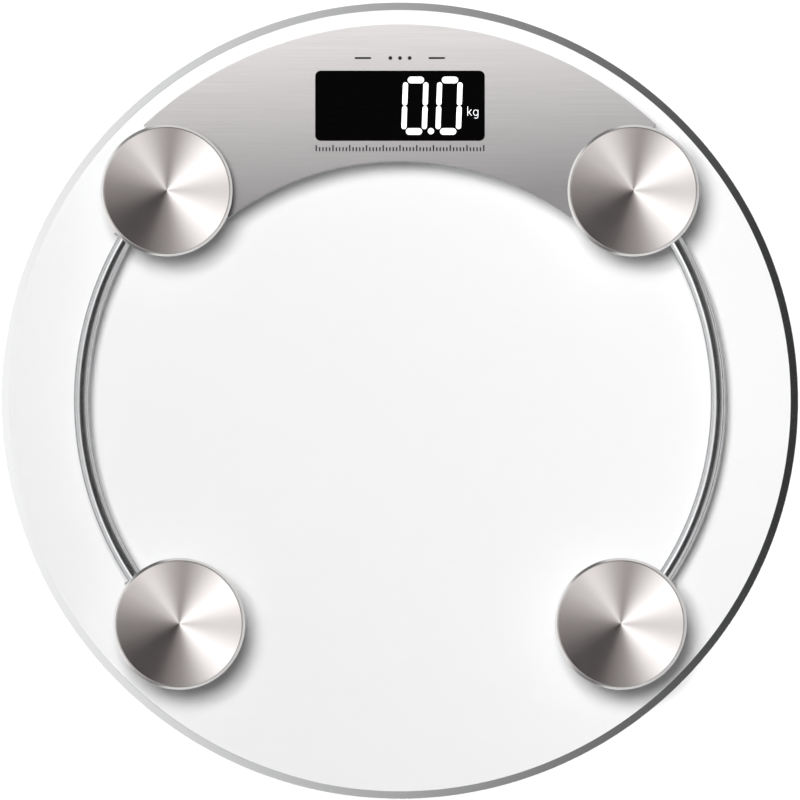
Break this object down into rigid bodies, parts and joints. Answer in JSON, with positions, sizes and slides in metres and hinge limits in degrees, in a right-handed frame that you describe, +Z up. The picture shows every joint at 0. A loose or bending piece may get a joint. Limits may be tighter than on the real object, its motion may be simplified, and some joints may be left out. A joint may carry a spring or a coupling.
{
  "type": "digital bathroom scale",
  "caption": "Round clear glass bathroom scale with spun steel discs, curved chrome tubes and a silver crescent display housing, on sprung load-cell feet.",
  "frame": {"origin": "on the floor, under the middle of the round glass", "axes": "+Z up, +Y towards the display end, +X to the right of a user who faces the display"},
  "size_m": [0.33, 0.33, 0.0266],
  "materials": {
    "clear_glass": "clear, toughened, ground edge",
    "spun_steel": "spun, concentric grain",
    "seat_plastic": "moulded",
    "soft_rubber": "soft",
    "screw_steel": "zinc plated",
    "grey_plastic": "moulded, fine texture",
    "spring_steel": "stamped",
    "foot_rubber": "moulded grip rubber",
    "gauge_resin": "sealing resin",
    "tube_chrome": "polished plate",
    "lead_sleeve": "sleeved",
    "silver_plastic": "silver paint, faint brushed lines",
    "dark_lens": "smoked, polished",
    "panel_glass": "dark display glass",
    "light_guide": "diffusing",
    "strip_rubber": "conductive strip",
    "board_laminate": "solder mask",
    "black_resin": "moulded",
    "sensor_can": "drawn can",
    "coin_steel": "stainless can",
    "button_plastic": "moulded"
  },
  "bodies": {
    "platform": {"glass_platform": "clear_glass", "steel_disc_toe_right": "spun_steel", "steel_disc_toe_left": "spun_steel", "steel_disc_heel_right": "spun_steel", "steel_disc_heel_left": "spun_steel", "disc_seat_toe_right": "seat_plastic", "disc_seat_toe_left": "seat_plastic", "disc_seat_heel_right": "seat_plastic", "disc_seat_heel_left": "seat_plastic", "disc_gaskets": "soft_rubber", "foot_gaskets": "soft_rubber", "tube_grommets": "soft_rubber", "disc_screws": "screw_steel", "load_cell_screws": "screw_steel", "case_screws": "screw_steel", "board_screws": "screw_steel", "foot_housing_toe_right": "grey_plastic", "foot_housing_toe_left": "grey_plastic", "foot_housing_heel_right": "grey_plastic", "foot_housing_heel_left": "grey_plastic", "lower_case": "grey_plastic", "load_cell_toe_right": "spring_steel", "load_cell_toe_left": "spring_steel", "load_cell_heel_right": "spring_steel", "load_cell_heel_left": "spring_steel", "battery_spring": "spring_steel", "battery_clip": "spring_steel", "strain_gauges": "gauge_resin", "tube_left": "tube_chrome", "tube_right": "tube_chrome", "heel_lead_left": "lead_sleeve", "heel_lead_right": "lead_sleeve", "toe_lead_left": "lead_sleeve", "toe_lead_right": "lead_sleeve", "upper_case": "silver_plastic", "window_lens": "dark_lens", "display_panel": "panel_glass", "backlight": "light_guide", "contact_strips": "strip_rubber", "main_board": "board_laminate", "driver_chip": "black_resin", "unit_switch": "black_resin", "tap_sensor": "sensor_can", "coin_cell": "coin_steel"},
    "foot_toe_right": {"foot_base_toe_right": "grey_plastic", "rubber_foot_toe_right": "foot_rubber", "push_nut_toe_right": "spring_steel"},
    "foot_toe_left": {"foot_base_toe_left": "grey_plastic", "rubber_foot_toe_left": "foot_rubber", "push_nut_toe_left": "spring_steel"},
    "foot_heel_right": {"foot_base_heel_right": "grey_plastic", "rubber_foot_heel_right": "foot_rubber", "push_nut_heel_right": "spring_steel"},
    "foot_heel_left": {"foot_base_heel_left": "grey_plastic", "rubber_foot_heel_left": "foot_rubber", "push_nut_heel_left": "spring_steel"},
    "button": {"unit_button": "button_plastic", "switch_plunger": "button_plastic"},
    "door": {"battery_door": "grey_plastic"}
  },
  "joints": [
    {"name": "foot_toe_right_press", "type": "slide", "parent": "platform", "child": "foot_toe_right", "axis": [0, 0, 1], "range_m": [0, 0.0006], "stiffness_N_per_m": 1500, "springref_m": -0.003, "deforming": ["load_cell_toe_right"]},
    {"name": "foot_toe_left_press", "type": "slide", "parent": "platform", "child": "foot_toe_left", "axis": [0, 0, 1], "range_m": [0, 0.0006], "stiffness_N_per_m": 1500, "springref_m": -0.003, "deforming": ["load_cell_toe_left"]},
    {"name": "foot_heel_right_press", "type": "slide", "parent": "platform", "child": "foot_heel_right", "axis": [0, 0, 1], "range_m": [0, 0.0006], "stiffness_N_per_m": 1500, "springref_m": -0.003, "deforming": ["load_cell_heel_right"]},
    {"name": "foot_heel_left_press", "type": "slide", "parent": "platform", "child": "foot_heel_left", "axis": [0, 0, 1], "range_m": [0, 0.0006], "stiffness_N_per_m": 1500, "springref_m": -0.003, "deforming": ["load_cell_heel_left"]},
    {"name": "unit_button_press", "type": "slide", "parent": "platform", "child": "button", "axis": [0, 0, 1], "range_m": [0, 0.0006], "stiffness_N_per_m": 800, "springref_m": -0.0015},
    {"name": "battery_door_slide", "type": "slide", "parent": "platform", "child": "door", "axis": [0, -1, 0], "range_m": [0, 0.03]}
  ]
}
